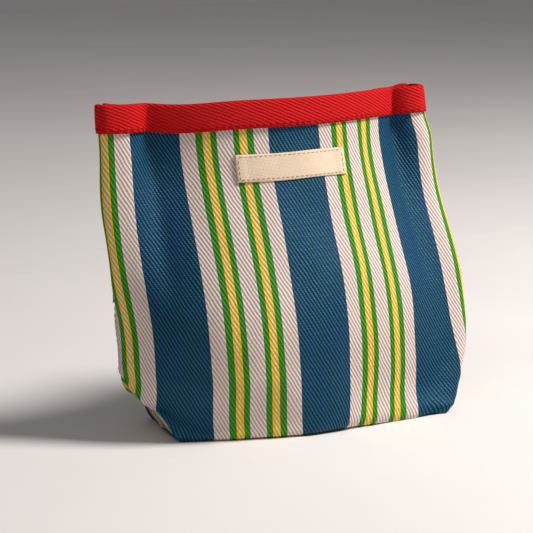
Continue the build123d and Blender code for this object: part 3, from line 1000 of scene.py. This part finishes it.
def puller_parts():
    """A tab with two arms to its cross bar, and a hole in its rounded end."""
    loop = [(-5.2, -2.7), (0.55, -2.7), (0.55, -1.75), (-4.9, -1.75), (-4.9, 1.75),
            (0.55, 1.75), (0.55, 2.7), (-5.2, 2.7)]
    for k in range(9):
        a = math.radians(90 + 180 * k / 8)
        loop.append((-14.4 + 2.4 * math.cos(a), 2.3 * math.sin(a)))
    hole = [(-14.1 + 1.15 * math.cos(a), 1.15 * math.sin(a))
            for a in np.linspace(0, 2 * math.pi, 25)[:-1]]
    tab = outline_plate(loop, -0.55, 0.55, 0.22, [hole])
    rim = Build()
    around = [(-14.1 + 1.45 * math.cos(a), 1.45 * math.sin(a), 0.55)
              for a in np.linspace(0, 2 * math.pi, 33)]
    rim.tube(around, 0.16, 6)
    bar = Build()
    bar.tube([(0, y, 0) for y in np.linspace(-2.7, 2.7, 9)],
             0.6 * np.array([0.75, 1, 1, 0.85, 0.8, 0.85, 1, 1, 0.75]), 12)
    return [tab, (rim.points, rim.faces), (bar.points, bar.faces)]


metal_piece(puller_parts(), "zip_pull_tab", SLIDER_RUN, PIVOT_Z, "zip_puller", "puller")

# ---- seams inside, and the care label -------------------------------------
def ribbon(build, centre, across, up, half_wide, half_thick, wobble=0.0):
    """A flat ribbon with round edges along centre; across and up are unit ways at each point."""
    count = 14
    rows = len(centre)
    rng = np.random.default_rng(rows)
    lean = np.convolve(rng.uniform(-1, 1, rows + 6), np.ones(7) / 7, "valid") * wobble
    points = []
    for k in range(rows):
        for m in range(count):
            a = 2 * math.pi * m / count
            c, d = math.cos(a), math.sin(a)
            w = half_wide * math.copysign(abs(c) ** 0.45, c)
            n = half_thick * math.copysign(abs(d) ** 0.8, d)
            points.append(centre[k] + across[k] * w + up[k] * (n + lean[k] * (w / half_wide)))
    build.add(points, hoop_faces(rows, count))
    run = np.concatenate([[0], np.cumsum(np.linalg.norm(np.diff(centre, axis=0), axis=1))])
    return [(run[k], (m - count / 2) * 2 * half_wide / count)
            for k in range(rows) for m in range(count)]


def unit(v):
    return v / np.linalg.norm(v, axis=-1, keepdims=True)


for left in (True, False):
    end, inner = (0, 9) if left else (-1, -10)
    rows = range(CORNER_ROWS, len(H_ROWS) - 8, 3)
    tips = np.array([WALLS[-1][i, end] for i in rows])
    into = unit(np.array([(WALLS[-1][i, inner] + WALLS[1][i, inner]) / 2 - WALLS[-1][i, end]
                          for i in rows]) * [1, 1, 0])
    facing = np.cross(into, [0, 0, 1.0])
    seam = Build()
    uvs = ribbon(seam, tips + into * 5.6, into, facing, 3.4, 0.65, 0.5)
    name = "left" if left else "right"
    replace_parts(seam.make("side_seam_binding_" + name, SEAM_WEAVE, uvs, slot="seam_tape"),
                "side_seam_tape_" + name)
    corner = CORNER_ROWS - 1 if left else -CORNER_ROWS
    front_end, back_end = WALLS[-1][0, corner], WALLS[1][0, corner]
    middle = seam_path(left)[0]
    ways = np.linspace(0.16, 1.84, 23)
    line = np.array([mix(front_end, middle, t) if t < 1 else mix(middle, back_end, t - 1)
                     for t in ways])
    line[:, 0] += 6.5 if left else -6.5
    line[:, 2] = 2.75
    corner_seam = Build()
    uvs = ribbon(corner_seam, line, np.tile([1.0, 0, 0], (23, 1)), np.tile([0, 0, 1.0], (23, 1)),
                 3.0, 0.6, 0.25)
    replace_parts(corner_seam.make("corner_seam_binding_" + name, SEAM_WEAVE, uvs, slot="seam_tape"),
                "corner_seam_tape_" + name)
xs = np.linspace(-66, 66, 45)
line = np.column_stack([xs + 2.0, np.zeros_like(xs), np.full_like(xs, 2.75)])
base_seam = Build()
uvs = ribbon(base_seam, line, np.tile([0, 1.0, 0], (45, 1)), np.tile([0, 0, 1.0], (45, 1)),
             3.8, 0.6, 0.3)
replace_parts(base_seam.make("base_seam_binding", SEAM_WEAVE, uvs, slot="seam_tape"), "base_seam_tape")

CARE_LOW, CARE_TALL, CARE_REACH = 71.2, 14.5, 7.6
care = Build()
rows, columns = 12, 19
care_uvs = []
points = []
for i in range(rows):
    z = CARE_LOW + CARE_TALL * i / (rows - 1)
    tip = on_cloth(-1, -HALF_PANEL, z * PANEL_TOP / HEIGHT)[0]
    for j in range(columns):
        t = j / (columns - 1)
        out = CARE_REACH * math.sin(math.pi * t) ** 0.7    # out to the fold and back
        gap = 0.32 * math.cos(math.pi * t)
        bend = math.radians(66 - 1.1 * out)
        way = np.array([math.cos(bend), math.sin(bend)])
        points.append((tip[0] - 0.9 + way[0] * out - way[1] * gap,
                       tip[1] + 0.6 + way[1] * out + way[0] * gap, z + 0.15 * math.sin(out)))
        care_uvs.append((math.copysign(out, t - 0.5), z))
care.add(points, quads(rows, columns))
care = care.make("care_label", CARE_WEAVE, care_uvs, slot="care_label")
solid_sheet(care, 0.14, 0)
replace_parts(care, "side_label")

# ---- stage, camera and lights ---------------------------------------------
floor_mesh = bpy.data.meshes.new("floor")
FAR = 3.0
floor_mesh.from_pydata([(-FAR, -FAR, 0), (FAR, -FAR, 0), (FAR, FAR, 0), (-FAR, FAR, 0)],
                       [], [(0, 1, 2, 3)])
floor = bpy.data.objects.new("floor", floor_mesh)
scene.collection.objects.link(floor)
pale, pale_nodes, pale_shader = material("pale_floor")
pale_noise = pale_nodes.noise(pale_nodes.object_place(), 5, 4)
pale_nodes.link(pale_nodes.mix(pale_noise, (*srgb(226, 220, 218), 1), (*srgb(238, 233, 230), 1)),
                pale_shader.inputs["Base Color"])
pale_shader.inputs["Roughness"].default_value = 0.9
floor_mesh.materials.append(pale)

AZIMUTH, ELEVATION = math.radians(-23.2), math.radians(11.9)
DISTANCE = 1.024
target = Vector((-0.0148, 0.0, 0.08381)) - Vector(ORIGIN * MM)
back_way = Vector((math.sin(AZIMUTH) * math.cos(ELEVATION),
                   -math.cos(AZIMUTH) * math.cos(ELEVATION), math.sin(ELEVATION)))
camera_data = bpy.data.cameras.new("camera")
camera_data.sensor_width = 36.0
camera_data.lens = 128.3
camera_data.clip_start, camera_data.clip_end = 0.05, 50
camera = bpy.data.objects.new("camera", camera_data)
scene.collection.objects.link(camera)
camera.location = target + back_way * DISTANCE
camera.rotation_mode = "QUATERNION"
camera.rotation_quaternion = (-back_way).to_track_quat("-Z", "Y")
scene.camera = camera


def area_light(name, azimuth, elevation, distance, size, power, colour=(1, 1, 1)):
    data = bpy.data.lights.new(name, "AREA")
    data.shape = "DISK"
    data.size = size
    data.energy = power
    data.color = colour
    lamp = bpy.data.objects.new(name, data)
    scene.collection.objects.link(lamp)
    a, e = math.radians(azimuth), math.radians(elevation)
    way = Vector((math.sin(a) * math.cos(e), -math.cos(a) * math.cos(e), math.sin(e)))
    lamp.location = way * distance + Vector((0, 0, 0.08))
    lamp.rotation_mode = "QUATERNION"
    lamp.rotation_quaternion = (-way).to_track_quat("-Z", "Y")


area_light("key", 66, 48, 1.5, 0.42, 29, (1.0, 0.985, 0.96))
area_light("fill", -50, 45, 1.8, 1.2, 2.2)
world = bpy.data.worlds.new("studio")
world.use_nodes = True
world.node_tree.nodes["Background"].inputs[0].default_value = (1.0, 0.97, 0.98, 1)
world.node_tree.nodes["Background"].inputs[1].default_value = 0.17
scene.world = world
scene.view_settings.view_transform = "Standard"
